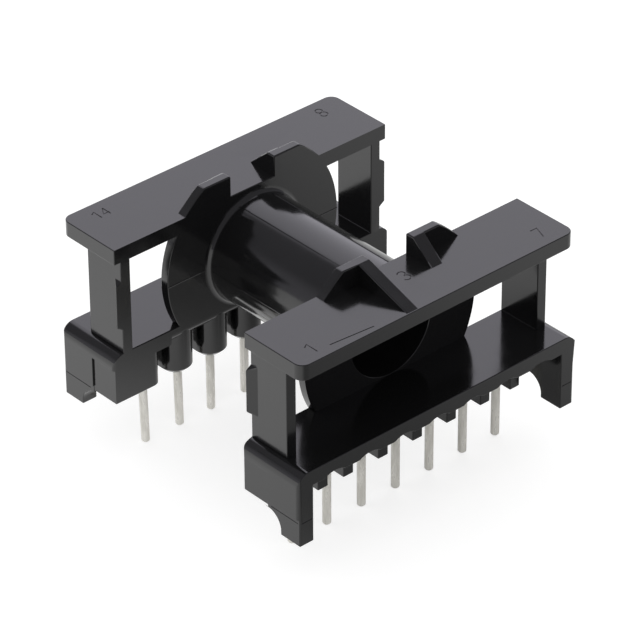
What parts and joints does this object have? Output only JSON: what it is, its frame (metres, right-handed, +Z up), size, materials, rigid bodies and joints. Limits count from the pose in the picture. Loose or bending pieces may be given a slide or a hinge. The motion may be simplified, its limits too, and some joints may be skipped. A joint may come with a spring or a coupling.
{
  "type": "transformer bobbin",
  "caption": "Black moulded bobbin for a round-leg power transformer core, with a winding tube between two discs, core seats, and rows of tinned pins below.",
  "frame": {"origin": "centre of the bore, halfway between the discs", "axes": "+Y along the bore from the front to the rear, +X along the pin rows, +Z up, away from the pins"},
  "size_m": [0.0408, 0.0396, 0.031],
  "materials": {
    "moulding": "moulded black phenolic, fairly glossy",
    "pins": "tinned wire, satin"
  },
  "bodies": {
    "root": {"coil_former": "moulding", "pin_01": "pins", "pin_02": "pins", "pin_03": "pins", "pin_04": "pins", "pin_05": "pins", "pin_06": "pins", "pin_07": "pins", "pin_08": "pins", "pin_09": "pins", "pin_10": "pins", "pin_11": "pins", "pin_12": "pins", "pin_13": "pins", "pin_14": "pins"}
  },
  "joints": []
}
